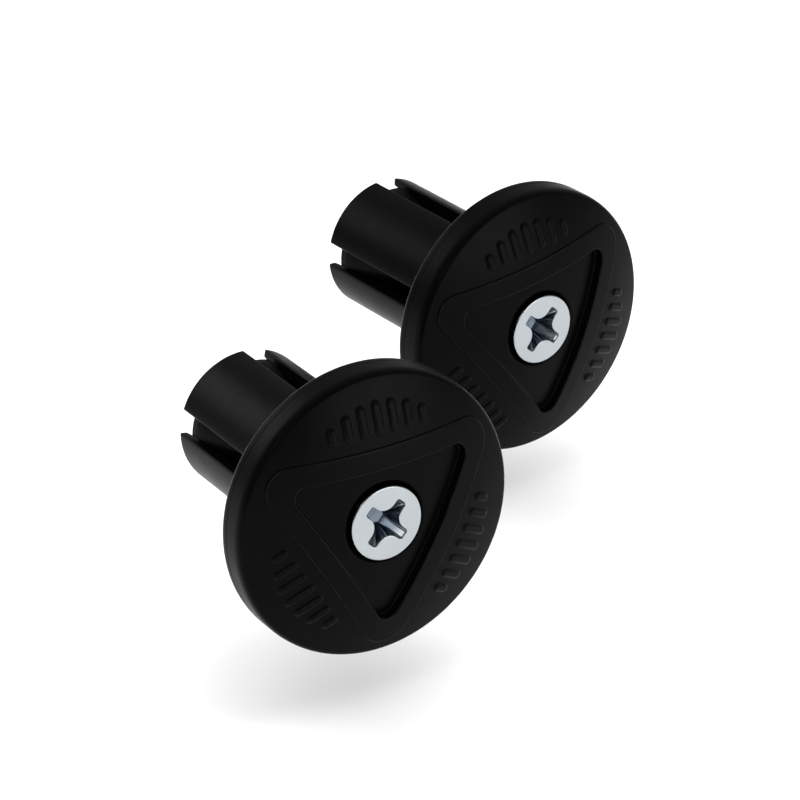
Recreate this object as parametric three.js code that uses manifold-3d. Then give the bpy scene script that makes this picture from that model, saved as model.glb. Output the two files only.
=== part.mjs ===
// A pair of expanding bar end plugs for a bicycle handlebar.
//
// Each plug is a domed flange with a slotted barrel behind it. A countersunk screw through the
// flange draws a tapered wedge into the barrel and spreads its four fingers inside the bar.
//
// Millimetres, +Z up. The origin is on the axis of plug A, in the plane where its flange meets
// the end of the bar. Plug A's axis is Y: +Y points into the bar and -Y out of the face.
// Heights in the flange are measured outwards from the seat plane, depths in the barrel inwards.

import * as THREE from 'three';
import { mergeVertices } from 'three/addons/utils/BufferGeometryUtils.js';
import Module from 'manifold-3d';

const wasm = await Module();
wasm.setup();

// Layout of the pair
const PLUG_B_X = 48.1;
const PLUG_B_Y = 41.9;
const PLUG_B_YAW = 6.5;
const PLUG_B_NOD = 2;
const PLUG_B_ROLL = 7.3;

// Turn of the features about the plug's axis, in degrees from +X towards +Z
const FACE_TURN = 32.5;
const SLOT_TURN = FACE_TURN + 48;
const SCREW_TURN_A = 48.5;
const SCREW_TURN_B = 44;

// Flange
const FLANGE_R = 19;
const BACK_EDGE_R = 0.8;
const SIDE_TOP = 3.4;
const DOME_R = 50;
const DOME_TOP = 8.35;
const RIM_BLEND_R = 18.4;

// Raised triangular frame and the recess inside it
const FRAME_RISE = 0.3;
const FRAME_INRADIUS = 10.25;
const FRAME_CORNER_R = 3.2;
const RECESS_INRADIUS = 7.45;
const RECESS_CORNER_R = 1.4;
const RECESS_DEPTH = 1.25;

// Groups of short ribs between the frame and the rim
const RIB_COUNT = 7;
const RIB_RISE = 0.3;
const RIB_WIDTH = 0.9;
const RIB_PITCH = 2.1;
const RIB_FOOT = 11.8;
const RIB_REACH = 4;
const RIB_SHORTENING = 0.22;

// Barrel
const BARREL_R = 9.45;
const BARREL_BORE_R = 7.3;
const COLLAR_END = 6;
const BARREL_END = 29;
const CAVITY_HEIGHT = 2.5;
const FINGER_GAP = 0.3;
const FINGER_TIP_BORE_R = 8.4;
const FINGER_TAPER = THREE.MathUtils.degToRad(10);
const FINGER_TIP_CHAMFER = 0.35;
const SLOT_WIDTH = 3.1;

// Screw, an M5 x 35 countersunk
const HEAD_R = 4.92;
const HEAD_LAND = 0.25;
const HEAD_FACE = 7.6;
const SHANK_R = 2.5;
const SCREW_LENGTH = 35;
const SCREW_TIP_CHAMFER = 0.6;
const CROSS_SPAN = 6.6;
const CROSS_WIDTH = 1.45;
const CROSS_DEPTH = 2.9;
const CROSS_FLOOR_SPAN = 1.8;

// Clearances round the screw
const RUNNING_GAP = 0.3;
const SEAT_MOUTH_R = 5.5;

// Expander wedge and its captive nut
const WEDGE_INSET = 1.9;
const WEDGE_LENGTH = 13;
const WEDGE_CLEARANCE = 0.35;
const KEY_WIDTH = 2.5;
const KEY_R = 8.7;
const KEY_ROOT_R = 4;
const KEY_LENGTH = 1.2;
const NUT_FLATS = 8;
const NUT_HEIGHT = 4;
const NUT_INSET = 0.3;
const NUT_CHAMFER = 0.35;

// How far a cutting solid runs past the surface that it cuts
const OVERSHOOT = 1;

// Facets
const ROUND_SEGMENTS = 48;
const SMALL_SEGMENTS = 32;
const ARC_POINTS = 4;
const DOME_POINTS = 5;
const CORNER_POINTS = 4;

// Finishes
const BLACK_PLASTIC = { color: 0x0c0c0d, roughness: 0.5, metalness: 0 };
const ZINC_PLATE = { color: 0xc9d0d8, roughness: 0.25, metalness: 1 };

const FULL_TURN = 2 * Math.PI;
const wedgeEnd = BARREL_END - WEDGE_INSET;
const wedgeStart = wedgeEnd - WEDGE_LENGTH;

// Manifold solids from three.js geometries, and back

function solid(geometry) {
  const bare = geometry.index ? geometry.toNonIndexed() : geometry.clone();
  bare.deleteAttribute('normal');
  bare.deleteAttribute('uv');
  const merged = mergeVertices(bare, 1e-5);
  const mesh = new wasm.Mesh({
    numProp: 3,
    vertProperties: new Float32Array(merged.attributes.position.array),
    triVerts: new Uint32Array(merged.index.array),
  });
  return new wasm.Manifold(mesh);
}

function geometryOf(manifold) {
  const mesh = manifold.getMesh();
  const geometry = new THREE.BufferGeometry();
  geometry.setAttribute('position', new THREE.BufferAttribute(mesh.vertProperties, 3));
  geometry.setIndex(new THREE.BufferAttribute(mesh.triVerts, 1));
  geometry.computeVertexNormals();
  return geometry;
}

// Shapes shared by the sub-parts

function point(radius, y) {
  return new THREE.Vector2(radius, y);
}

function lathe(profile, segments) {
  return new THREE.LatheGeometry(profile, segments);
}

function arc(centreR, centreY, radius, from, to, points) {
  return Array.from({ length: points + 1 }, (unused, i) => {
    const angle = from + (i / points) * (to - from);
    return point(centreR + radius * Math.cos(angle), centreY + radius * Math.sin(angle));
  });
}

function domeHeight(top, radius) {
  return top - DOME_R + Math.sqrt(DOME_R ** 2 - radius ** 2);
}

// A plain disc with a domed outer face, from the seat plane outwards.
function domedDisc(top, radius, base) {
  const profile = [point(0, -base), point(radius, -base)];
  for (let i = DOME_POINTS; i >= 0; i -= 1) {
    const r = (radius * i) / DOME_POINTS;
    profile.push(point(r, -domeHeight(top, r)));
  }
  return solid(lathe(profile.reverse(), ROUND_SEGMENTS));
}

// An equilateral triangle with round corners, centred on the origin, one corner towards +X.
function roundedTriangle(inradius, cornerRadius) {
  const cornerCentre = 2 * (inradius - cornerRadius);
  const shape = new THREE.Shape();
  for (let side = 0; side < 3; side += 1) {
    const angle = (side * FULL_TURN) / 3;
    const x = cornerCentre * Math.cos(angle);
    const y = cornerCentre * Math.sin(angle);
    shape.absarc(x, y, cornerRadius, angle - Math.PI / 3, angle + Math.PI / 3, false);
  }
  return shape;
}

// A prism of an outline drawn in the face's plane, from one height in the flange to another.
function facePrism(shape, fromHeight, toHeight) {
  const geometry = new THREE.ExtrudeGeometry(shape, {
    depth: toHeight - fromHeight,
    bevelEnabled: false,
    curveSegments: CORNER_POINTS,
  });
  geometry.rotateX(Math.PI / 2);
  geometry.translate(0, -fromHeight, 0);
  return geometry;
}

// A plate of an outline drawn in the plane of the radius and the axis, centred on that plane.
function radialPlate(shape, thickness) {
  const geometry = new THREE.ExtrudeGeometry(shape, { depth: thickness, bevelEnabled: false });
  geometry.translate(0, 0, -thickness / 2);
  return geometry;
}

function outline(points) {
  return new THREE.Shape(points);
}

// Turns a geometry about the plug's axis, from +X towards +Z.
function turned(geometry, degrees) {
  return geometry.rotateY(-THREE.MathUtils.degToRad(degrees));
}

// End cap

function flangeProfile() {
  const rimStart = domeHeight(DOME_TOP, RIM_BLEND_R);
  const sideTop = point(FLANGE_R, -SIDE_TOP);
  const rimEnd = point(RIM_BLEND_R, -rimStart);
  const control = point(FLANGE_R, -domeHeight(DOME_TOP, FLANGE_R));
  const rim = new THREE.QuadraticBezierCurve(rimEnd, control, sideTop).getPoints(ARC_POINTS);
  const backEdge = arc(FLANGE_R - BACK_EDGE_R, -BACK_EDGE_R, BACK_EDGE_R, 0, Math.PI / 2, ARC_POINTS);
  const dome = Array.from({ length: DOME_POINTS }, (unused, i) => {
    const r = (RIM_BLEND_R * i) / DOME_POINTS;
    return point(r, -domeHeight(DOME_TOP, r));
  });
  return [
    ...dome,
    ...rim,
    ...backEdge,
    point(BARREL_R, 0),
    point(BARREL_R, COLLAR_END),
    point(BARREL_BORE_R, COLLAR_END),
    point(BARREL_BORE_R, -CAVITY_HEIGHT),
    point(0, -CAVITY_HEIGHT),
  ];
}

function ribs() {
  const half = RIB_WIDTH / 2;
  const firstSide = FACE_TURN + 60;
  const all = [];
  for (let side = 0; side < 3; side += 1) {
    for (let i = 0; i < RIB_COUNT; i += 1) {
      const place = i - (RIB_COUNT - 1) / 2;
      const reach = RIB_REACH - RIB_SHORTENING * place ** 2;
      const rib = new THREE.Shape();
      const foot = RIB_FOOT + half;
      const head = RIB_FOOT + reach - half;
      const x = place * RIB_PITCH;
      rib.absarc(x, head, half, 0, Math.PI, false);
      rib.absarc(x, foot, half, Math.PI, FULL_TURN, false);
      const prism = facePrism(rib, SIDE_TOP, DOME_TOP + RIB_RISE);
      all.push(solid(turned(prism, firstSide - 90 + side * 120)));
    }
  }
  return all.reduce((sum, rib) => sum.add(rib));
}

function screwSeat() {
  const throat = SHANK_R + RUNNING_GAP;
  const coneTop = HEAD_FACE - HEAD_LAND - RUNNING_GAP;
  return solid(lathe([
    point(0, -DOME_TOP - OVERSHOOT),
    point(SEAT_MOUTH_R, -DOME_TOP - OVERSHOOT),
    point(SEAT_MOUTH_R, -coneTop),
    point(throat, -coneTop + SEAT_MOUTH_R - throat),
    point(throat, 0),
    point(0, 0),
  ], SMALL_SEGMENTS));
}

function endCap() {
  const frameTop = DOME_TOP + FRAME_RISE;
  const recessTop = frameTop - RECESS_DEPTH;
  const frameShape = roundedTriangle(FRAME_INRADIUS, FRAME_CORNER_R);
  const recessShape = roundedTriangle(RECESS_INRADIUS, RECESS_CORNER_R);
  const framePrism = solid(turned(facePrism(frameShape, SIDE_TOP, frameTop), FACE_TURN));
  const recessPrism = solid(turned(facePrism(recessShape, SIDE_TOP, frameTop + OVERSHOOT), FACE_TURN));

  const frame = framePrism.intersect(domedDisc(frameTop, RIM_BLEND_R, SIDE_TOP));
  const ribRelief = ribs().intersect(domedDisc(DOME_TOP + RIB_RISE, RIM_BLEND_R, SIDE_TOP));
  const recess = recessPrism.subtract(domedDisc(recessTop, FLANGE_R, 0));
  const body = solid(lathe(flangeProfile(), ROUND_SEGMENTS)).add(frame).add(ribRelief);
  return geometryOf(body.subtract(recess).subtract(screwSeat()));
}

// Barrel fingers

function fingerRing() {
  const taperStart = BARREL_END - (FINGER_TIP_BORE_R - BARREL_BORE_R) / Math.tan(FINGER_TAPER);
  const root = COLLAR_END + FINGER_GAP;
  const profile = [
    point(BARREL_BORE_R, root),
    point(BARREL_R, root),
    point(BARREL_R, BARREL_END - FINGER_TIP_CHAMFER),
    point(BARREL_R - FINGER_TIP_CHAMFER, BARREL_END),
    point(FINGER_TIP_BORE_R, BARREL_END),
    point(BARREL_BORE_R, taperStart),
    point(BARREL_BORE_R, root),
  ];
  return solid(lathe(profile, ROUND_SEGMENTS));
}

// The quarter of the barrel between two slots. Its sides are parallel to the slots.
function finger(ring, index) {
  const reach = 2 * BARREL_R;
  const quarter = new THREE.BoxGeometry(reach, 2 * BARREL_END, reach);
  const middle = SLOT_WIDTH / 2 + reach / 2;
  quarter.translate(middle, BARREL_END, middle);
  return geometryOf(ring.intersect(solid(turned(quarter, SLOT_TURN + 90 * index))));
}

// Expander wedge and nut

function hexagon(flats) {
  const corner = flats / 2 / Math.cos(Math.PI / 6);
  const corners = Array.from({ length: 6 }, (unused, i) => {
    const angle = (i * FULL_TURN) / 6;
    return point(corner * Math.cos(angle), corner * Math.sin(angle));
  });
  return outline(corners);
}

function wedgeRadius(y) {
  return FINGER_TIP_BORE_R - (BARREL_END - y) * Math.tan(FINGER_TAPER) - WEDGE_CLEARANCE;
}

function wedgeKey(index) {
  const profile = outline([
    point(KEY_ROOT_R, wedgeStart),
    point(KEY_ROOT_R, wedgeEnd),
    point(KEY_R, wedgeEnd),
    point(KEY_R, wedgeEnd - KEY_LENGTH),
    point(wedgeRadius(wedgeStart), wedgeStart),
  ]);
  return solid(turned(radialPlate(profile, KEY_WIDTH), SLOT_TURN + 90 * index));
}

function expanderWedge() {
  const cone = solid(lathe([
    point(0, wedgeStart),
    point(wedgeRadius(wedgeStart), wedgeStart),
    point(wedgeRadius(wedgeEnd), wedgeEnd),
    point(0, wedgeEnd),
  ], ROUND_SEGMENTS));
  const bore = solid(lathe([
    point(0, wedgeStart - OVERSHOOT),
    point(SHANK_R + RUNNING_GAP, wedgeStart - OVERSHOOT),
    point(SHANK_R + RUNNING_GAP, wedgeEnd + OVERSHOOT),
    point(0, wedgeEnd + OVERSHOOT),
  ], SMALL_SEGMENTS));
  const pocketDepth = NUT_HEIGHT + 2 * NUT_INSET;
  const pocketShape = hexagon(NUT_FLATS + 2 * RUNNING_GAP);
  const pocket = solid(facePrism(pocketShape, -wedgeEnd - OVERSHOOT, pocketDepth - wedgeEnd));
  const keys = [0, 1, 2, 3].map(wedgeKey);
  const body = keys.reduce((sum, key) => sum.add(key), cone);
  return geometryOf(body.subtract(bore).subtract(pocket));
}

function hexNut() {
  const nutEnd = wedgeEnd - NUT_INSET;
  const prism = solid(facePrism(hexagon(NUT_FLATS), -nutEnd, NUT_HEIGHT - nutEnd));
  const corner = NUT_FLATS / 2 / Math.cos(Math.PI / 6);
  const chamfered = solid(lathe([
    point(0, nutEnd - NUT_HEIGHT),
    point(corner - 2 * NUT_CHAMFER, nutEnd - NUT_HEIGHT),
    point(corner + NUT_CHAMFER, nutEnd - NUT_HEIGHT + 2 * NUT_CHAMFER),
    point(corner + NUT_CHAMFER, nutEnd - 2 * NUT_CHAMFER),
    point(corner - 2 * NUT_CHAMFER, nutEnd),
    point(0, nutEnd),
  ], SMALL_SEGMENTS));
  const bore = solid(lathe([
    point(0, nutEnd - NUT_HEIGHT - OVERSHOOT),
    point(SHANK_R + RUNNING_GAP, nutEnd - NUT_HEIGHT - OVERSHOOT),
    point(SHANK_R + RUNNING_GAP, nutEnd + OVERSHOOT),
    point(0, nutEnd + OVERSHOOT),
  ], SMALL_SEGMENTS));
  return geometryOf(prism.intersect(chamfered).subtract(bore));
}

// Screw

function screw() {
  const tip = SCREW_LENGTH - HEAD_FACE;
  const body = solid(lathe([
    point(0, -HEAD_FACE),
    point(HEAD_R, -HEAD_FACE),
    point(HEAD_R, HEAD_LAND - HEAD_FACE),
    point(SHANK_R, HEAD_LAND - HEAD_FACE + HEAD_R - SHANK_R),
    point(SHANK_R, tip - SCREW_TIP_CHAMFER),
    point(SHANK_R - SCREW_TIP_CHAMFER, tip),
    point(0, tip),
  ], SMALL_SEGMENTS));
  const arm = outline([
    point(-CROSS_SPAN / 2, -HEAD_FACE - OVERSHOOT),
    point(CROSS_SPAN / 2, -HEAD_FACE - OVERSHOOT),
    point(CROSS_SPAN / 2, -HEAD_FACE),
    point(CROSS_FLOOR_SPAN / 2, CROSS_DEPTH - HEAD_FACE),
    point(-CROSS_FLOOR_SPAN / 2, CROSS_DEPTH - HEAD_FACE),
    point(-CROSS_SPAN / 2, -HEAD_FACE),
  ]);
  const across = solid(radialPlate(arm, CROSS_WIDTH));
  const upright = solid(turned(radialPlate(arm, CROSS_WIDTH), 90));
  return geometryOf(body.subtract(across.add(upright)));
}

// Assembly

function piece(name, geometry, finish) {
  const mesh = new THREE.Mesh(geometry, new THREE.MeshStandardMaterial(finish));
  mesh.name = name;
  return mesh;
}

function plug(label, screwTurn) {
  const group = new THREE.Group();
  const ring = fingerRing();
  group.add(piece(`end_cap_${label}`, endCap(), BLACK_PLASTIC));
  for (let i = 0; i < 4; i += 1) {
    group.add(piece(`finger_${label}_${i + 1}`, finger(ring, i), BLACK_PLASTIC));
  }
  group.add(piece(`expander_wedge_${label}`, expanderWedge(), BLACK_PLASTIC));
  group.add(piece(`hex_nut_${label}`, hexNut(), ZINC_PLATE));
  group.add(piece(`csk_screw_${label}`, turned(screw(), screwTurn), ZINC_PLATE));
  return group;
}

const plugA = plug('a', SCREW_TURN_A);
const plugB = plug('b', SCREW_TURN_B);
plugB.position.set(PLUG_B_X, PLUG_B_Y, 0);
plugB.rotation.set(
  THREE.MathUtils.degToRad(PLUG_B_NOD),
  -THREE.MathUtils.degToRad(PLUG_B_ROLL),
  THREE.MathUtils.degToRad(PLUG_B_YAW),
  'ZXY',
);

const pair = new THREE.Group();
pair.add(plugA, plugB);

export default pair;
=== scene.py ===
import math

import bpy
import numpy as np
from mathutils import Matrix, Vector


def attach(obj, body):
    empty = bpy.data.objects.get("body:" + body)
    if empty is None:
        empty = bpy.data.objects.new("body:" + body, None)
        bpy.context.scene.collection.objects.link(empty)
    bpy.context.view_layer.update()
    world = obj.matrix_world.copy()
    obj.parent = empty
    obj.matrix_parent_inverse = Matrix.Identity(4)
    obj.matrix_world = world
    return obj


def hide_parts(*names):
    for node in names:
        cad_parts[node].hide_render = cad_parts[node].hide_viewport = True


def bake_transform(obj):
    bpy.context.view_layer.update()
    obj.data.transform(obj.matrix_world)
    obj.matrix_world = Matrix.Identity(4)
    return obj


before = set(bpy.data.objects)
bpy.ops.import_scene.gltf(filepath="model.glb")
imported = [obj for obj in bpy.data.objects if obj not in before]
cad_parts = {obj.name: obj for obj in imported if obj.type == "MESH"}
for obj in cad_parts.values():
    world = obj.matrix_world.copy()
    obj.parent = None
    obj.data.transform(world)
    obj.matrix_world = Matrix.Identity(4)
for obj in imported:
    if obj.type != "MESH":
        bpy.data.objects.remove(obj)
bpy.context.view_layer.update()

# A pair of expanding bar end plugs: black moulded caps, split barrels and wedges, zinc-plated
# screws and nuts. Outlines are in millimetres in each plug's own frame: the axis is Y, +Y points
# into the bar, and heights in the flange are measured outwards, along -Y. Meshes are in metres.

MM = 0.001
FULL_TURN = 2 * math.pi

# Where plug B stands, and the turn of the features about each plug's axis in degrees
PLUG_B_AT = (48.1, 41.9, 0)
PLUG_B_YAW = 6.5
PLUG_B_NOD = 2
PLUG_B_ROLL = 7.3
FACE_TURN = 32.5
SLOT_TURN = FACE_TURN + 48
SCREW_TURN = {"a": 48.5, "b": 44}

# Flange: a dome, with a rim that rounds down to a straight side
COLUMNS = 600
DOME_R = 50
FLOOR_TOP = 7.4
FRAME_LIFT = 1.25
FACE_LIFT = 0.95
FLANGE_R = 19
RIM_BLEND_R = 18.4
SIDE_TOP = 3.4
RIM_RINGS = 12
BACK_EDGE_R = 0.8
PARTING_HEIGHT = 1.5
PARTING_DEPTH = 0.05
PARTING_HALF = 0.09

# Raised triangular frame and its recess: the triangle's inradius at the foot and the top of each wall.
# CORNER_RADII pairs an inradius with the radius of its corners; those between are interpolated.
RECESS_FOOT = 7.32
RECESS_TOP = 7.58
FRAME_TOP = 10.21
FRAME_FOOT = 10.29
CORNER_RADII = ((7.0, 0.95), (7.45, 1.4), (7.8, 1.75), (9.9, 2.85), (10.25, 3.2), (10.6, 3.55))
RECESS_FOOT_ROUND = 0.3
RECESS_TOP_ROUND = 0.2
FRAME_TOP_ROUND = 0.13
FRAME_FOOT_ROUND = 0.1
FLOOR_EDGE = 6.9
FRAME_EDGE = 10.5
FLOOR_RINGS = 5
FACE_RINGS = 48

# Groups of short ribs
RIB_COUNT = 7
RIB_RISE = 0.3
RIB_HALF = 0.45
RIB_PITCH = 2.1
RIB_FOOT = 11.8
RIB_REACH = 4
RIB_SHORTENING = 0.22
RIB_FLANK = 0.24

# Screw hole, collar and cavity
MOUTH_R = 5.52
MOUTH_ROUND = 0.5
MOUTH_FLAT_R = 6.3
THROAT_R = 2.8
THROAT_HEIGHT = 4.25
BARREL_R = 9.45
BORE_R = 7.3
COLLAR_END = 6
CAVITY_HEIGHT = 2.5

# Barrel fingers
BARREL_END = 29
SLOT_HALF = 1.55
SLOT_FOOT_ROUND = 0.6
TIP_BORE_R = 8.4
TAPER = math.tan(math.radians(10))
FINGER_EDGE_ROUND = 0.22
TIP_ROUND = 0.28
FACE_STEPS = 14
EDGE_STEPS = 5
BEND_END = 7.8

# Expander wedge, its keys and its nut, as depths in the barrel
WEDGE_START = 14.1
WEDGE_END = 27.1
WEDGE_CLEARANCE = 0.35
KEY_HALF = 1.25
KEY_R = 8.7
KEY_LENGTH = 1.2
KEY_EDGE = 0.06
WEDGE_EDGE_ROUND = 0.2
POCKET_LIP = 0.12
POCKET_FLATS = 8.6
POCKET_DEPTH = 4.6
NUT_FLATS = 8
NUT_HEIGHT = 4
NUT_END = 26.8
NUT_FACE_R = 3.85
NUT_BORE_R = 2.6
NUT_CHAMFER_SLOPE = math.tan(math.radians(30))
NUT_COLUMNS = 192

# Screw
HEAD_R = 4.92
HEAD_FACE = 7.6
HEAD_LAND = 0.25
HEAD_EDGE_ROUND = 0.2
SHANK_R = 2.5
THREAD_ROOT_R = 2.12
THREAD_PITCH = 0.8
THREAD_START = -3.4
THREAD_STEPS = 12
SCREW_TIP = 27.4
TIP_CHAMFER = 0.6
CROSS_REACH = 3.3
CROSS_FLOOR_REACH = 0.95
CROSS_HALF = 0.72
CROSS_DEPTH = 2.9
CROSS_DISH = 0.1
CROSS_FILLET = 1.75
CROSS_FLOOR_FILLET = 0.35
CROSS_DRAFT = 0.09
CROSS_LIP = 0.1

# Depth in the cross recess at which the painted shade on its plate is at its darkest
PAINTED_SHADE_DEPTH = 1.7

# Finishes: the convex curvature, in 1/mm, at which wear starts and is full, colours, and the zinc's
# turning marks in radians a metre
WEAR_FROM = 1.2
WEAR_TO = 6
PLASTIC_DARK = (0.0008, 0.0008, 0.0009)
PLASTIC_PALE = (0.0014, 0.0014, 0.0015)
PLASTIC_WORN = (0.009, 0.009, 0.0093)
PLASTIC_SPECULAR = 0.04
ZINC_DARK = (0.37, 0.40, 0.42)
ZINC_PALE = (0.42, 0.445, 0.455)
# ZINC_PAINTED_SHADE is painted shade: the dark colour the screw's cross recess is given with depth
ZINC_PAINTED_SHADE = (0.15, 0.18, 0.225)
TURNING_MARKS = 42000.0

# Stage and camera: FLOOR_HALF and MIDDLE are in metres. ROOM_TURN is the cosine between a direction and
# the way back to the camera: the room is bright below the first value and dark above the second.
FLOOR_Z = -28
FLOOR_HALF = 4.0
ROOM_BRIGHT = 0.45
ROOM_DARK = 0.1
ROOM_TURN = (0.1, 0.75)
MIDDLE = Vector((0.02, 0.02, 0))
CAMERA_AZIMUTH = 30.43
CAMERA_ELEVATION = 24.12
CAMERA_DISTANCE = 494.42
CAMERA_RIGHT = 5.424
CAMERA_UP = 12.404
CAMERA_LENS = 180


# Outlines


def unit(v):
    return v / np.linalg.norm(v)


def rounded(corners, steps=6, support=0.05):
    """A polyline through corners (x, y, radius), each rounded, with a point just beside each arc."""
    places = [np.array(corner[:2], float) for corner in corners]
    path = [places[0]]
    for before, place, after, corner in zip(places, places[1:], places[2:], corners[1:]):
        back, ahead = unit(before - place), unit(after - place)
        half = math.acos(np.clip(back @ ahead, -1, 1)) / 2
        reach = corner[2] / math.tan(half)
        centre = place + unit(back + ahead) * corner[2] / math.sin(half)
        first, last = place + back * reach - centre, place + ahead * reach - centre
        start = math.atan2(first[1], first[0])
        sweep = math.remainder(math.atan2(last[1], last[0]) - start, FULL_TURN)
        path.append(place + back * (reach + support))
        for i in range(steps + 1):
            angle = start + sweep * i / steps
            path.append(centre + corner[2] * np.array((math.cos(angle), math.sin(angle))))
        path.append(place + ahead * (reach + support))
    return path + [places[-1]]


def dome(radius):
    """Height of the recess floor's dome; the frame and the face are the same dome, lifted."""
    return FLOOR_TOP - DOME_R + np.sqrt(DOME_R**2 - radius**2)


def circle(radius, height, angles):
    """A ring about the axis; radius and height are numbers or one value for each angle."""
    ring = np.empty((len(angles), 3))
    ring[:, 0] = radius * np.cos(angles)
    ring[:, 1] = -height
    ring[:, 2] = radius * np.sin(angles)
    return ring


def triangle(inradius, angles):
    """Polar radius of the rounded triangle with that inradius, at each angle."""
    corner = np.interp(inradius, *zip(*CORNER_RADII))
    centre = 2 * (inradius - corner)
    third = FULL_TURN / 3
    psi = np.abs((angles - math.radians(FACE_TURN) + third / 2) % third - third / 2)
    tangent = math.atan2(corner * math.sin(third / 2), centre + corner * math.cos(third / 2))
    side = inradius / np.cos(third / 2 - psi)
    across = np.sqrt(np.maximum(corner**2 - (centre * np.sin(psi)) ** 2, 0))
    return np.where(psi < tangent, centre * np.cos(psi) + across, side)


def smoothstep(value):
    value = np.clip(value, 0, 1)
    return value * value * (3 - 2 * value)


def rib_relief(radius, angles):
    """How far the groups of ribs stand above the face."""
    x, z = radius * np.cos(angles), radius * np.sin(angles)
    nearest = np.full(len(angles), float(FLANGE_R))
    for side in range(3):
        turn = math.radians(FACE_TURN + 60 + 120 * side)
        out = x * math.cos(turn) + z * math.sin(turn)
        along = z * math.cos(turn) - x * math.sin(turn)
        for i in range(RIB_COUNT):
            place = i - (RIB_COUNT - 1) / 2
            reach = RIB_REACH - RIB_SHORTENING * place**2
            low, high = RIB_FOOT + RIB_HALF, RIB_FOOT + reach - RIB_HALF
            gap = np.hypot(along - place * RIB_PITCH, out - np.clip(out, low, high))
            nearest = np.minimum(nearest, gap)
    return RIB_RISE * smoothstep((RIB_HALF + RIB_FLANK / 2 - nearest) / RIB_FLANK)


# Meshes


def make_mesh(name, vertices, faces, wear_and_painted_shade):
    """A mesh in metres from vertices in millimetres, with its faces turned outwards.

    wear_and_painted_shade is one number per vertex for the materials: edge wear on plastic; on the screw,
    depth in the cross recess, which paints shade there."""
    vertices = np.asarray(vertices, float)
    corners = vertices[np.array([face[:3] for face in faces])]
    fourth = vertices[np.array([face[-1] for face in faces])]
    volume = np.einsum("ij,ij->", corners[:, 0], np.cross(corners[:, 1], corners[:, 2]))
    volume += np.einsum("ij,ij->", corners[:, 0], np.cross(corners[:, 2], fourth))
    if volume < 0:
        faces = [face[::-1] for face in faces]
    mesh = bpy.data.meshes.new(name)
    mesh.from_pydata((vertices * MM).tolist(), [], faces)
    mesh.validate()
    mesh.shade_smooth()
    layer = mesh.attributes.new("wear_and_painted_shade", "FLOAT", "POINT")
    layer.data.foreach_set("value", np.asarray(wear_and_painted_shade, np.float32))
    return mesh


def bend(before, place, after, normal):
    """How sharply a line of points turns away from its normal at its middle point, in 1/mm."""
    back, ahead = before - place, after - place
    near = np.linalg.norm(back, axis=-1, keepdims=True) + 1e-6
    far = np.linalg.norm(ahead, axis=-1, keepdims=True) + 1e-6
    return -2 * np.sum((back / near + ahead / far) * normal, axis=-1) / (near + far)[..., 0]


def edge_wear(rings):
    """0 on flat and hollow places and 1 on sharp convex edges, for each point of a grid of rings."""
    up, down = np.roll(rings, 1, axis=0), np.roll(rings, -1, axis=0)
    left, right = np.roll(rings, 1, axis=1), np.roll(rings, -1, axis=1)
    normal = np.cross(down - up, right - left)
    normal /= np.linalg.norm(normal, axis=-1, keepdims=True) + 1e-9
    centre = rings.mean(axis=(0, 1))
    normal *= np.sign(np.sum(normal * (rings - centre), axis=-1).sum()) or 1
    lengthwise = bend(up, rings, down, normal)
    around = bend(left, rings, right, normal)
    convex = np.maximum(lengthwise, around)
    return smoothstep((convex - WEAR_FROM) / (WEAR_TO - WEAR_FROM)).reshape(-1)


def ring_faces(rows, columns, closed):
    """Quads between neighbouring rings, and from the last ring to the first if closed."""
    index = np.arange(rows * columns).reshape(rows, columns)
    ahead = np.roll(index, -1, axis=1)
    quads = np.stack((index, ahead, np.roll(ahead, -1, axis=0), np.roll(index, -1, axis=0)), axis=-1)
    return quads[: rows if closed else rows - 1].reshape(-1, 4).tolist()


def tube_mesh(name, rings):
    """A closed tube: each ring joins the next, and the last joins the first."""
    rings = np.array(rings)
    faces = ring_faces(len(rings), rings.shape[1], True)
    return make_mesh(name, rings.reshape(-1, 3), faces, edge_wear(rings))


def capped_mesh(name, rings, wear_and_painted_shade):
    """Rings in a row with a fan over the first and over the last; finish is one number per ring."""
    rings = np.array(rings)
    rows, columns = rings.shape[:2]
    vertices = np.concatenate((rings.reshape(-1, 3), [rings[0].mean(0), rings[-1].mean(0)]))
    faces = ring_faces(rows, columns, False)
    last = (rows - 1) * columns
    for i in range(columns):
        ahead = (i + 1) % columns
        faces.append([ahead, i, rows * columns])
        faces.append([last + i, last + ahead, rows * columns + 1])
    wear_and_painted_shade = np.append(np.repeat(wear_and_painted_shade, columns), (wear_and_painted_shade[0], wear_and_painted_shade[-1]))
    return make_mesh(name, vertices, faces, wear_and_painted_shade)


def lathe(path, angles):
    return [circle(radius, height, angles) for radius, height in path]


# End cap


def floor_rings(angles):
    """From the screw seat's cone over the mouth of the hole to the foot of the recess wall."""
    slope = MOUTH_R - THROAT_R
    mouth = rounded([
        (THROAT_R, dome(MOUTH_R) - slope, 0),
        (MOUTH_R, dome(MOUTH_R), MOUTH_ROUND),
        (MOUTH_FLAT_R, dome(MOUTH_FLAT_R), 0),
    ])
    rings = lathe(mouth[1:], angles)
    edge = triangle(FLOOR_EDGE, angles)
    for i in range(1, FLOOR_RINGS + 1):
        radius = MOUTH_FLAT_R + (edge - MOUTH_FLAT_R) * i / FLOOR_RINGS
        rings.append(circle(radius, dome(radius), angles))
    return rings


def frame_rings(angles):
    """Up the recess wall, over the frame and down to the face."""
    walls = rounded([
        (FLOOR_EDGE, 0, 0),
        (RECESS_FOOT, 0, RECESS_FOOT_ROUND),
        (RECESS_TOP, FRAME_LIFT, RECESS_TOP_ROUND),
        (FRAME_TOP, FRAME_LIFT, FRAME_TOP_ROUND),
        (FRAME_FOOT, FACE_LIFT, FRAME_FOOT_ROUND),
        (FRAME_EDGE, FACE_LIFT, 0),
    ], support=0.03)
    rings = []
    for inradius, lift in walls[1:]:
        radius = triangle(inradius, angles)
        rings.append(circle(radius, dome(radius) + lift, angles))
    return rings


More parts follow.
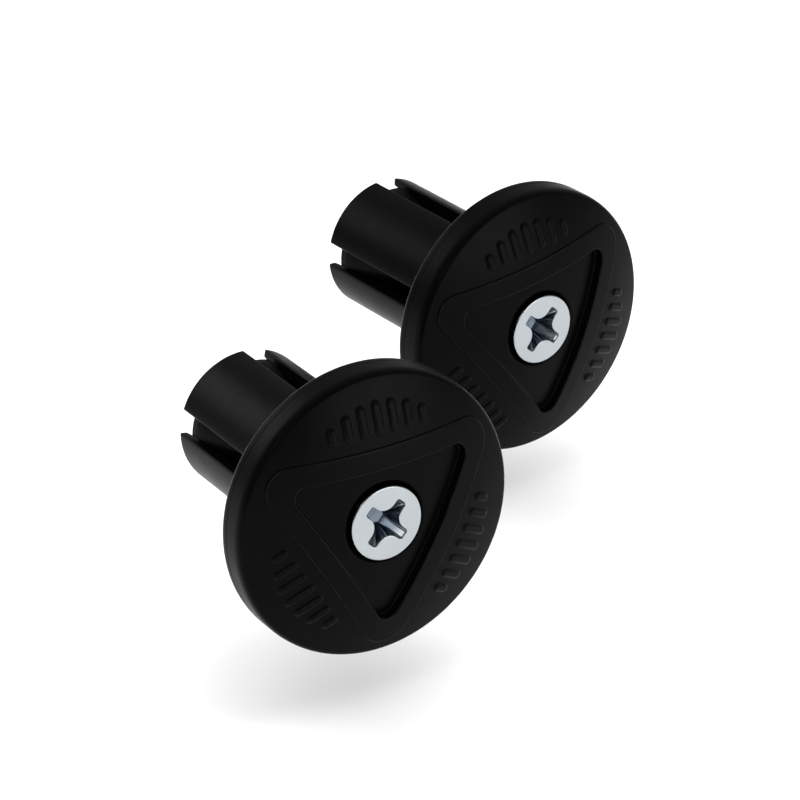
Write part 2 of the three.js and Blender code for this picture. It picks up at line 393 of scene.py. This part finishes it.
def face_rings(angles):
    """Across the face with its ribs, from the frame to where the rim starts."""
    edge = triangle(FRAME_EDGE, angles)
    rings = []
    for i in range(1, FACE_RINGS + 1):
        radius = edge + (RIM_BLEND_R - edge) * i / FACE_RINGS
        height = dome(radius) + FACE_LIFT + rib_relief(radius, angles)
        rings.append(circle(radius, height, angles))
    return rings


def rim_path():
    """A curve from the face's dome to the straight side, tangent to both."""
    start = np.array((RIM_BLEND_R, dome(RIM_BLEND_R) + FACE_LIFT))
    control = np.array((FLANGE_R, dome(FLANGE_R) + FACE_LIFT))
    end = np.array((FLANGE_R, SIDE_TOP))
    steps = [i / RIM_RINGS for i in range(1, RIM_RINGS + 1)]
    return [(1 - t) ** 2 * start + 2 * t * (1 - t) * control + t * t * end for t in steps]


def back_path():
    """Down the side with its parting line, across the back, round the collar and into the cavity."""
    return rounded([
        (FLANGE_R, SIDE_TOP, 0),
        (FLANGE_R, PARTING_HEIGHT + PARTING_HALF, 0.05),
        (FLANGE_R - PARTING_DEPTH, PARTING_HEIGHT, 0.02),
        (FLANGE_R, PARTING_HEIGHT - PARTING_HALF, 0.05),
        (FLANGE_R, 0, BACK_EDGE_R),
        (BARREL_R, 0, 0.4),
        (BARREL_R, -COLLAR_END, 0.02),
        (BORE_R, -COLLAR_END, 0.2),
        (BORE_R, CAVITY_HEIGHT, 0.6),
        (THROAT_R, CAVITY_HEIGHT, 0.2),
        (THROAT_R, THROAT_HEIGHT, 0.3),
        (MOUTH_R, THROAT_HEIGHT + MOUTH_R - THROAT_R, 0),
    ], steps=5, support=0.03)[1:-1]


def cap_mesh(name):
    angles = np.arange(COLUMNS) * FULL_TURN / COLUMNS
    rings = floor_rings(angles) + frame_rings(angles) + face_rings(angles)
    rings += lathe(rim_path() + back_path(), angles)
    return tube_mesh(name, rings)


# Barrel fingers


def finger_half(outer, inner, side, edge):
    """Half of a finger's section, from the middle of its outer face to the middle of its inner one.

    The section is in the quarter plane between two slots, whose middles are its axes."""
    middle = FULL_TURN / 8
    points = []
    out_edge = math.asin((side + edge) / (outer - edge))
    in_edge = math.asin((side + edge) / (inner + edge))
    for i in range(FACE_STEPS):
        a = middle + (out_edge - middle) * i / FACE_STEPS
        points.append((outer * math.cos(a), outer * math.sin(a)))
    for i in range(EDGE_STEPS + 1):
        a = out_edge - (out_edge + FULL_TURN / 4) * i / EDGE_STEPS
        x = (outer - edge) * math.cos(out_edge) + edge * math.cos(a)
        points.append((x, side + edge + edge * math.sin(a)))
    for i in range(EDGE_STEPS + 1):
        a = -FULL_TURN / 4 - (FULL_TURN / 4 - in_edge) * i / EDGE_STEPS
        x = (inner + edge) * math.cos(in_edge) + edge * math.cos(a)
        points.append((x, side + edge + edge * math.sin(a)))
    for i in range(1, FACE_STEPS + 1):
        a = in_edge + (middle - in_edge) * i / FACE_STEPS
        points.append((inner * math.cos(a), inner * math.sin(a)))
    return points


def finger_stations():
    """(depth, outer radius, inner radius, side, edge round) of each section along a finger."""
    stations = []
    for i in range(9):
        rise = SLOT_FOOT_ROUND * (1 - math.cos(FULL_TURN / 4 * i / 8))
        narrow = SLOT_FOOT_ROUND - math.sqrt(SLOT_FOOT_ROUND**2 - (SLOT_FOOT_ROUND - rise) ** 2)
        stations.append((COLLAR_END + rise, BARREL_R, BORE_R, SLOT_HALF - narrow, FINGER_EDGE_ROUND))
    taper_start = BARREL_END - (TIP_BORE_R - BORE_R) / TAPER
    depths = [7.0, 7.4, BEND_END, 12, 17, taper_start - 0.3, taper_start, taper_start + 0.3, 26, 28]
    depths += [BARREL_END - TIP_ROUND - 0.05]
    for depth in depths:
        inner = BORE_R + max(0, depth - taper_start) * TAPER
        stations.append((depth, BARREL_R, inner, SLOT_HALF, FINGER_EDGE_ROUND))
    for i in range(7):
        a = FULL_TURN / 4 * i / 6
        depth = BARREL_END - TIP_ROUND * (1 - math.sin(a))
        shrink = TIP_ROUND * (1 - math.cos(a))
        inner = BORE_R + (depth - taper_start) * TAPER
        edge = max(FINGER_EDGE_ROUND - shrink, 0.02)
        stations.append((depth, BARREL_R - shrink, inner + shrink, SLOT_HALF + shrink, edge))
    return stations


def finger_mesh(name, index):
    """Sections in a row, with a strip of quads across each end from one side of the finger to the other."""
    turn = math.radians(SLOT_TURN + 90 * index)
    rings = []
    for depth, outer, inner, side, edge in finger_stations():
        half = finger_half(outer, inner, side, edge)
        mirrored = [(z, x) for x, z in half[-2:0:-1]]
        ring = [(math.hypot(x, z), math.atan2(z, x) + turn) for x, z in half + mirrored]
        rings.append([(r * math.cos(a), depth, r * math.sin(a)) for r, a in ring])
    rings = np.array(rings)
    rows, columns = rings.shape[:2]
    faces = ring_faces(rows, columns, False)
    middle = columns // 2
    last = (rows - 1) * columns
    for i in range(middle // 2):
        near = [i, i + 1, middle - i - 1, middle - i]
        far = [(columns - i) % columns, columns - i - 1, middle + i + 1, middle + i]
        faces += [near[::-1], far]
        faces += [[last + v for v in near], [last + v for v in far[::-1]]]
    mesh = make_mesh(name, rings.reshape(-1, 3), faces, edge_wear(rings))
    mesh.set_sharp_from_angle(angle=math.radians(50))
    return mesh


# Expander wedge and nut


def wedge_radius(depth):
    return TIP_BORE_R - (BARREL_END - depth) * TAPER - WEDGE_CLEARANCE


def hexagon(flats, angles):
    sixth = FULL_TURN / 6
    return flats / 2 / np.cos((angles % sixth) - sixth / 2)


def wedge_section(cone, key, depth, shrink=0):
    """The wedge's outline at a depth: a circle with a key towards the middle of each slot."""
    half = KEY_HALF - shrink
    cone = cone - shrink
    key = max(key - shrink, cone + 0.01)
    foot = math.asin(half / cone)
    top = math.asin(half / key)
    shoulder = key - KEY_EDGE
    flank = (cone + key) / 2
    quarter = [(key, top * i / 5) for i in range(5)]
    quarter.append((key, top * 0.97))
    quarter.append((shoulder, math.asin(half / shoulder) if shoulder > cone else foot))
    quarter.append((flank, math.asin(half / flank)))
    quarter.append((cone, foot))
    for i in range(1, 16):
        quarter.append((cone, foot + (FULL_TURN / 4 - 2 * foot) * i / 16))
    quarter += [(r, FULL_TURN / 4 - a) for r, a in quarter[8:0:-1]]
    ring = []
    for index in range(4):
        turn = math.radians(SLOT_TURN + 90 * index)
        ring += [(r * math.cos(a + turn), depth, r * math.sin(a + turn)) for r, a in quarter]
    return np.array(ring)


def wedge_outside():
    """Rings from the small end, over its rounded edge and along the cone and keys, to the large end."""
    start_radius = wedge_radius(WEDGE_START)
    key_start = WEDGE_END - KEY_LENGTH
    rings = []
    for i in reversed(range(5)):
        a = FULL_TURN / 4 * i / 4
        depth = WEDGE_START + WEDGE_EDGE_ROUND * (1 - math.sin(a))
        cone = wedge_radius(depth)
        rings.append(wedge_section(cone, cone, depth, WEDGE_EDGE_ROUND * (1 - math.cos(a))))
    for i in range(1, 9):
        depth = WEDGE_START + (key_start - WEDGE_START) * i / 8
        key = start_radius + (KEY_R - start_radius) * i / 8
        rings.append(wedge_section(wedge_radius(depth), key, depth))
    for depth in (key_start + 0.1, WEDGE_END - WEDGE_EDGE_ROUND - 0.1):
        rings.append(wedge_section(wedge_radius(depth), KEY_R, depth))
    for i in range(5):
        a = FULL_TURN / 4 * i / 4
        depth = WEDGE_END - WEDGE_EDGE_ROUND * (1 - math.sin(a))
        shrink = WEDGE_EDGE_ROUND * (1 - math.cos(a))
        rings.append(wedge_section(wedge_radius(depth), KEY_R, depth, shrink))
    return rings


def wedge_mesh(name):
    rings = wedge_outside()
    angles = np.arctan2(rings[-1][:, 2], rings[-1][:, 0])
    outer = np.hypot(rings[-1][:, 0], rings[-1][:, 2])
    pocket = hexagon(POCKET_FLATS, angles)
    floor = WEDGE_END - POCKET_DEPTH
    for share in (0.1, 0.5, 0.9):
        rings.append(circle(outer + (pocket + POCKET_LIP - outer) * share, -WEDGE_END, angles))
    pocket_path = [
        (POCKET_LIP, WEDGE_END),
        (POCKET_LIP / 3, WEDGE_END - POCKET_LIP / 3),
        (0, WEDGE_END - POCKET_LIP),
        (0, floor + 0.15),
        (-0.05, floor + 0.03),
        (-0.15, floor),
    ]
    rings += [circle(pocket + spread, -depth, angles) for spread, depth in pocket_path]
    bore_path = [
        (THROAT_R + 0.2, floor),
        (THROAT_R, floor - 0.15),
        (THROAT_R, WEDGE_START + 0.15),
        (THROAT_R + 0.15, WEDGE_START),
        (wedge_radius(WEDGE_START) - WEDGE_EDGE_ROUND - 0.1, WEDGE_START),
    ]
    rings += [circle(radius, -depth, angles) for radius, depth in bore_path]
    mesh = tube_mesh(name, rings)
    mesh.set_sharp_from_angle(angle=math.radians(40))
    return mesh


def nut_mesh(name):
    """A hexagon nut, with its corners chamfered round at both ends and its bore countersunk."""
    angles = np.arange(NUT_COLUMNS) * FULL_TURN / NUT_COLUMNS
    flats = hexagon(NUT_FLATS, angles)
    start = NUT_END - NUT_HEIGHT
    drop = np.maximum(flats - NUT_FACE_R, 0) * NUT_CHAMFER_SLOPE + 0.02
    profile = [
        (NUT_BORE_R, start + 0.5),
        (NUT_BORE_R + 0.4, start),
        (NUT_FACE_R - 0.05, start),
        (NUT_FACE_R, start),
        (flats - 0.02, start + drop),
        (flats, start + drop + 0.04),
        (flats, NUT_END - drop - 0.04),
        (flats - 0.02, NUT_END - drop),
        (NUT_FACE_R, NUT_END),
        (NUT_FACE_R - 0.05, NUT_END),
        (NUT_BORE_R + 0.4, NUT_END),
        (NUT_BORE_R, NUT_END - 0.5),
    ]
    mesh = tube_mesh(name, [circle(radius, -depth, angles) for radius, depth in profile])
    mesh.set_sharp_from_angle(angle=math.radians(25))
    return mesh


# Screw


def cross_quarter(reach, half, fillet):
    """A quarter of the cross recess's outline, from the end of one arm to the end of the next."""
    fillet = min(fillet, (reach - half) * 0.8)
    corner = min(0.3, half * 0.45, (reach - half - fillet) * 0.9)
    points = [(reach, 0), (reach, (half - corner) * 0.5), (reach, half - corner)]
    for i in (1, 2, 3):
        a = FULL_TURN / 4 * i / 3
        points.append((reach - corner + corner * math.cos(a), half - corner + corner * math.sin(a)))
    inner = half + fillet
    points.append(((inner + reach - corner) / 2, half))
    for i in range(7):
        a = FULL_TURN / 8 * i / 6
        points.append((inner - fillet * math.sin(a), inner - fillet * math.cos(a)))
    return points + [(z, x) for x, z in points[-2:0:-1]]


def cross_ring(reach, half, fillet, height, turn):
    ring = []
    quarter = cross_quarter(reach, half, fillet)
    for index in range(4):
        a = turn + FULL_TURN / 4 * index
        for x, z in quarter:
            ring.append((x * math.cos(a) - z * math.sin(a), -height, x * math.sin(a) + z * math.cos(a)))
    return np.array(ring)


def thread_radius(depth, angles):
    """The thread's radius at a depth, fading out under the head and at the tip."""
    phase = (depth / THREAD_PITCH - angles / FULL_TURN) % 1
    crest = smoothstep(np.minimum(phase, 1 - phase) * 2.6 - 0.15)
    fade = min((depth - THREAD_START) / 1.2, (SCREW_TIP - depth) / 0.5, 1)
    return THREAD_ROOT_R + (SHANK_R - THREAD_ROOT_R) * (1 - crest * max(fade, 0))


def recess_rings(turn):
    """From the middle of the cross recess's floor, up its walls and over its lip."""
    rings = []
    floor = HEAD_FACE - CROSS_DEPTH
    for share in (0.03, 0.5, 0.85):
        reach = CROSS_FLOOR_REACH * share
        height = floor - CROSS_DISH * (1 - share)
        rings.append(cross_ring(reach, 0.6 * share, 0.3 * share, height, turn))
    for i in range(13):
        share = i / 12
        reach = CROSS_FLOOR_REACH + (CROSS_REACH - CROSS_FLOOR_REACH) * share
        half = CROSS_HALF - CROSS_DRAFT * (1 - share)
        fillet = CROSS_FLOOR_FILLET + (CROSS_FILLET - CROSS_FLOOR_FILLET) * share
        height = HEAD_FACE - CROSS_LIP - (CROSS_DEPTH - CROSS_LIP) * (1 - share)
        rings.append(cross_ring(reach, half, fillet, height, turn))
    for i in range(1, 5):
        a = FULL_TURN / 4 * i / 4
        spread = CROSS_LIP * (1 - math.cos(a))
        height = HEAD_FACE - CROSS_LIP + CROSS_LIP * math.sin(a)
        rings.append(cross_ring(CROSS_REACH + spread, CROSS_HALF + spread, CROSS_FILLET, height, turn))
    return rings


def screw_outside(angles):
    """Over the head's edge, down its cone and along the thread to the tip."""
    under = HEAD_FACE - HEAD_LAND - (HEAD_R - SHANK_R)
    head = rounded([
        (HEAD_R - HEAD_EDGE_ROUND - 0.1, HEAD_FACE, 0),
        (HEAD_R, HEAD_FACE, HEAD_EDGE_ROUND),
        (HEAD_R, HEAD_FACE - HEAD_LAND, 0.08),
        (SHANK_R, under, 0.5),
        (SHANK_R, -THREAD_START, 0),
    ], steps=5, support=0.03)
    rings = lathe(head[1:], angles)
    step = THREAD_PITCH / THREAD_STEPS
    steps = int((SCREW_TIP - TIP_CHAMFER - THREAD_START) / step)
    for i in range(1, steps + 1):
        depth = THREAD_START + i * step
        rings.append(circle(thread_radius(depth, angles), -depth, angles))
    tip_r = SHANK_R - TIP_CHAMFER
    return rings + lathe([(tip_r, -SCREW_TIP + 0.05), (tip_r - 0.1, -SCREW_TIP), (0.8, -SCREW_TIP)], angles)


def screw_mesh(name, turn_degrees):
    turn = math.radians(turn_degrees)
    inside = recess_rings(turn)
    lip = inside[-1]
    angles = turn + np.arange(len(lip)) * FULL_TURN / len(lip)
    land = circle(HEAD_R - HEAD_EDGE_ROUND - 0.05, HEAD_FACE, angles)
    outside = [lip + (land - lip) * share for share in (0.02, 0.2, 0.4, 0.6, 0.8)]
    outside += screw_outside(angles)
    # Painted shade: each recess ring's depth, eased to 1 at PAINTED_SHADE_DEPTH, darkens the plate there;
    # shallow arm ends stay bright and the head's outside gets 0
    depths = [smoothstep((HEAD_FACE + ring[:, 1].mean()) / PAINTED_SHADE_DEPTH) for ring in inside]
    mesh = capped_mesh(name, inside + outside, depths + [0] * len(outside))
    mesh.set_sharp_from_angle(angle=math.radians(38))
    return mesh


# Materials


class Nodes:
    """A material's node tree with a short way to add and link nodes."""

    def __init__(self, name):
        self.material = bpy.data.materials.new(name)
        self.material.use_nodes = True
        self.tree = self.material.node_tree
        self.shader = self.tree.nodes["Principled BSDF"]

    def add(self, kind, inputs=None, **settings):
        node = self.tree.nodes.new(kind)
        for key, value in settings.items():
            setattr(node, key, value)
        for key, value in (inputs or {}).items():
            if isinstance(value, bpy.types.NodeSocket):
                self.tree.links.new(value, node.inputs[key])
            else:
                node.inputs[key].default_value = value
        return node

    def set(self, key, value):
        if isinstance(value, bpy.types.NodeSocket):
            self.tree.links.new(value, self.shader.inputs[key])
        else:
            self.shader.inputs[key].default_value = value

    def coordinates(self, offset):
        place = self.add("ShaderNodeTexCoord").outputs["Object"]
        return self.add("ShaderNodeMapping", {"Vector": place, "Location": offset}).outputs["Vector"]

    def noise(self, vector, scale, detail=3.0, roughness=0.55):
        values = {"Vector": vector, "Scale": scale, "Detail": detail, "Roughness": roughness}
        return self.add("ShaderNodeTexNoise", values).outputs["Fac"]

    def spread(self, factor, low, high, to_low, to_high):
        values = {"Value": factor, "From Min": low, "From Max": high, "To Min": to_low, "To Max": to_high}
        return self.add("ShaderNodeMapRange", values).outputs["Result"]

    def between(self, factor, first, second):
        first, second = (c if isinstance(c, bpy.types.NodeSocket) else (*c, 1) for c in (first, second))
        values = {"Factor": factor, 6: first, 7: second}
        return self.add("ShaderNodeMix", values, data_type="RGBA").outputs[2]

    def bump(self, height, strength, distance, normal=None):
        values = {"Height": height, "Strength": strength, "Distance": distance}
        if normal:
            values["Normal"] = normal
        return self.add("ShaderNodeBump", values).outputs["Normal"]


def black_plastic(name, offset):
    """Satin moulded plastic: very fine grain, faint flow marks, and edges rubbed a little paler."""
    nodes = Nodes(name)
    where = nodes.coordinates(offset)
    clouds = nodes.noise(where, 110, 4)
    grain = nodes.noise(where, 5200, 2, 0.6)
    flow = nodes.noise(where, 420, 3)
    edges = nodes.add("ShaderNodeAttribute", attribute_name="wear_and_painted_shade").outputs["Fac"]
    patchy = nodes.spread(flow, 0.35, 0.65, 0.5, 1)
    worn = nodes.add("ShaderNodeMath", {0: edges, 1: patchy}, operation="MULTIPLY").outputs[0]
    plain = nodes.between(clouds, PLASTIC_DARK, PLASTIC_PALE)
    nodes.set("Base Color", nodes.between(worn, plain, PLASTIC_WORN))
    nodes.set("Roughness", nodes.spread(flow, 0.25, 0.75, 0.29, 0.37))
    nodes.set("Specular IOR Level", PLASTIC_SPECULAR)
    fine = nodes.bump(grain, 0.35, 0.00002)
    nodes.set("Normal", nodes.bump(flow, 0.25, 0.00003, fine))
    return nodes.material


def zinc_plate(name, offset):
    """Bright zinc plate: faint blue cast, fine turning marks, a few scuffs, and painted shade that darkens
    the cross recess.
    """
    nodes = Nodes(name)
    where = nodes.coordinates(offset)
    place = nodes.add("ShaderNodeTexCoord").outputs["Object"]
    across = nodes.add("ShaderNodeVectorMath", {0: place, 1: (1, 0, 1)}, operation="MULTIPLY")
    radius = nodes.add("ShaderNodeVectorMath", {0: across.outputs[0]}, operation="LENGTH").outputs["Value"]
    clouds = nodes.noise(where, 300, 4)
    scuffs = nodes.noise(where, 2600, 5, 0.7)
    # Painted shade: the plate is mixed towards ZINC_PAINTED_SHADE by this attribute, the recess depth on
    # the screw; on the nut it holds edge wear, so the nut's sharp edges darken the same way
    depth = nodes.add("ShaderNodeAttribute", attribute_name="wear_and_painted_shade").outputs["Fac"]
    turned = nodes.add("ShaderNodeMath", {0: radius, 1: TURNING_MARKS}, operation="MULTIPLY").outputs[0]
    marks = nodes.add("ShaderNodeMath", {0: turned}, operation="SINE").outputs[0]
    plate = nodes.between(clouds, ZINC_DARK, ZINC_PALE)
    nodes.set("Base Color", nodes.between(depth, plate, ZINC_PAINTED_SHADE))
    nodes.set("Metallic", 1)
    nodes.set("Roughness", nodes.spread(clouds, 0.3, 0.7, 0.18, 0.28))
    fine = nodes.bump(marks, 0.22, 0.000005)
    nodes.set("Normal", nodes.bump(scuffs, 0.2, 0.00002, fine))
    return nodes.material


# Assembly


def turn(degrees, axis):
    return Matrix.Rotation(math.radians(degrees), 4, axis)


def add_object(name, data, place=Matrix()):
    made = bpy.data.objects.new(name, data)
    bpy.context.scene.collection.objects.link(made)
    made.matrix_world = place
    return made


def add_piece(name, mesh, place, node, material):
    piece = add_object(name, mesh, place)
    mesh.materials.append(material)
    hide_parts(node)
    return piece


def add_fingers(label, place, plastic):
    """The four fingers, which start at the cap's collar, each made in the plug's place and baked there."""
    for i in range(4):
        name = f"barrel_finger_{label}_{i + 1}"
        node = f"finger_{label}_{i + 1}"
        finger = add_piece(name, finger_mesh(name, i), place, node, plastic)
        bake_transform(finger)


def add_plug(label, place):
    plastic = black_plastic(f"black_plastic_{label}", (0.1, 0.2, 0.3 if label == "a" else 0.7))
    zinc = zinc_plate(f"zinc_plate_{label}", (0.4, 0.5, 0.6 if label == "a" else 0.9))

    name = f"cap_moulding_{label}"
    cap = add_piece(name, cap_mesh(name), place, f"end_cap_{label}", plastic)
    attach(cap, f"cap_{label}")

    add_fingers(label, place, plastic)

    name = f"wedge_cone_{label}"
    wedge = add_piece(name, wedge_mesh(name), place, f"expander_wedge_{label}", plastic)
    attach(wedge, f"wedge_{label}")

    name = f"m5_nut_{label}"
    nut = add_piece(name, nut_mesh(name), place, f"hex_nut_{label}", zinc)
    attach(nut, f"wedge_{label}")

    name = f"m5_screw_{label}"
    mesh = screw_mesh(name, SCREW_TURN[label])
    screw = add_piece(name, mesh, place, f"csk_screw_{label}", zinc)
    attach(screw, f"screw_{label}")


# Stage, light and camera


def add_floor():
    side = FLOOR_HALF
    corners = [(-side, -side), (side, -side), (side, side), (-side, side)]
    mesh = bpy.data.meshes.new("floor")
    mesh.from_pydata([(x, y, FLOOR_Z * MM) for x, y in corners], [], [(0, 1, 2, 3)])
    nodes = Nodes("floor_white")
    nodes.set("Base Color", (0.92, 0.92, 0.92, 1))
    nodes.set("Roughness", 0.9)
    nodes.set("Specular IOR Level", 0.1)
    mesh.materials.append(nodes.material)
    add_object("floor", mesh)


def camera_axes():
    """Unit vectors to the camera's right, up and back."""
    azimuth, elevation = math.radians(CAMERA_AZIMUTH), math.radians(CAMERA_ELEVATION)
    back = Vector((-math.sin(azimuth) * math.cos(elevation),
                   -math.cos(azimuth) * math.cos(elevation),
                   math.sin(elevation)))
    right = (-back).cross(Vector((0, 0, 1))).normalized()
    return right, right.cross(-back), back


def add_light(name, at, size, energy, mirrored=True):
    """A soft box aimed at the plugs. Its place is metres to the right, away from the camera and up."""
    right = camera_axes()[0]
    away = Vector((0, 0, 1)).cross(right)
    light = bpy.data.lights.new(name, "AREA")
    light.shape = "RECTANGLE"
    light.size, light.size_y = size
    light.energy = energy
    place = MIDDLE + right * at[0] + away * at[1] + Vector((0, 0, at[2]))
    aim = (MIDDLE - place).to_track_quat("-Z", "Y").to_matrix().to_4x4()
    made = add_object(name, light, Matrix.Translation(place) @ aim)
    made.visible_glossy = mirrored


def add_world():
    """White all round to the eye; for the light it gives, dark on the side of the room by the camera."""
    world = bpy.data.worlds.new("studio")
    world.use_nodes = True
    tree = world.node_tree
    background = tree.nodes["Background"]
    towards = tree.nodes.new("ShaderNodeTexCoord").outputs["Generated"]
    facing = tree.nodes.new("ShaderNodeVectorMath")
    facing.operation = "DOT_PRODUCT"
    facing.inputs[1].default_value = camera_axes()[2]
    tree.links.new(towards, facing.inputs[0])
    room = tree.nodes.new("ShaderNodeMapRange")
    room.interpolation_type = "SMOOTHSTEP"
    room.inputs["From Min"].default_value = ROOM_TURN[0]
    room.inputs["From Max"].default_value = ROOM_TURN[1]
    room.inputs["To Min"].default_value = ROOM_BRIGHT
    room.inputs["To Max"].default_value = ROOM_DARK
    tree.links.new(facing.outputs["Value"], room.inputs["Value"])
    seen = tree.nodes.new("ShaderNodeMix")
    seen.inputs["B"].default_value = 1
    tree.links.new(tree.nodes.new("ShaderNodeLightPath").outputs["Is Camera Ray"], seen.inputs["Factor"])
    tree.links.new(room.outputs["Result"], seen.inputs["A"])
    background.inputs["Color"].default_value = (1, 1, 1, 1)
    tree.links.new(seen.outputs["Result"], background.inputs["Strength"])
    bpy.context.scene.world = world


def add_camera():
    right, up, back = camera_axes()
    place = (right * CAMERA_RIGHT + up * CAMERA_UP + back * CAMERA_DISTANCE) * MM
    camera = bpy.data.cameras.new("camera")
    camera.sensor_width = 36
    camera.lens = CAMERA_LENS
    camera.clip_start = 0.05
    camera.clip_end = 20
    turned = Matrix((right, up, back)).transposed().to_4x4()
    bpy.context.scene.camera = add_object("camera", camera, Matrix.Translation(place) @ turned)


place_b = Matrix.Translation(Vector(PLUG_B_AT) * MM)
place_b = place_b @ turn(PLUG_B_YAW, "Z") @ turn(PLUG_B_NOD, "X") @ turn(-PLUG_B_ROLL, "Y")
add_plug("a", Matrix())
add_plug("b", place_b)
add_floor()
add_world()
add_light("ceiling", (0.0, 0.0, 0.9), (1.8, 1.6), 18.5, mirrored=False)
add_light("overhead", (0.0, -0.2, 0.6), (0.6, 0.16), 0.6, mirrored=False)
add_light("behind_left", (-0.65, 0.45, 0.4), (0.5, 0.35), 1.3)
add_light("front_right", (0.7, -0.5, 0.16), (0.5, 0.4), 2.4)
add_light("upper_left", (-0.27, -0.59, 0.47), (0.22, 0.18), 0.4)
add_camera()
bpy.context.scene.view_settings.view_transform = "Standard"
